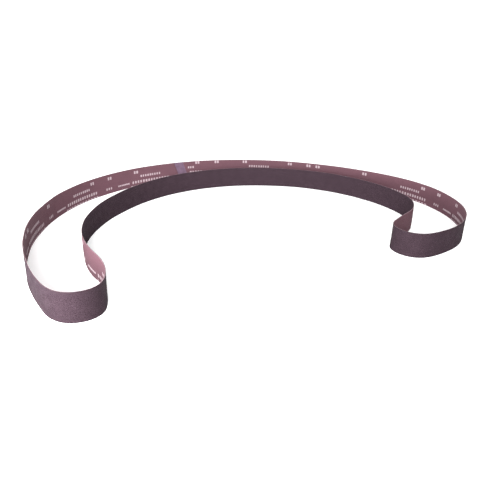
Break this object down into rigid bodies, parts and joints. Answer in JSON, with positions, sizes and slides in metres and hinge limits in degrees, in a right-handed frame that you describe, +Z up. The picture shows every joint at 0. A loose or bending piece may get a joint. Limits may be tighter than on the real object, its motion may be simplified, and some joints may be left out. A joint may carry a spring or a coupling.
{
  "type": "abrasive belt",
  "caption": "Endless coated-abrasive belt for a belt grinder, standing on its edge in a loose horseshoe, abrasive side out and printed cloth back inside.",
  "frame": {"origin": "middle of the belt's footprint, on the surface its lower edge stands on", "axes": "+Z up across the belt's width; the horseshoe opens towards -Y; +X to the right seen from the open side"},
  "size_m": [0.916, 0.8482, 0.0508],
  "materials": {
    "cloth": "dyed maroon woven cloth with pale print",
    "make_resin": "dull resin",
    "grain": "sharp mineral grain in resin",
    "size_resin": "satin resin over grain",
    "adhesive": "clear dull adhesive",
    "tape": "thin film tape"
  },
  "bodies": {
    "root": {"cloth_backing": "cloth", "make_coat": "make_resin", "abrasive_grain": "grain", "size_coat": "size_resin", "splice_adhesive": "adhesive", "splice_tape": "tape"}
  },
  "joints": []
}
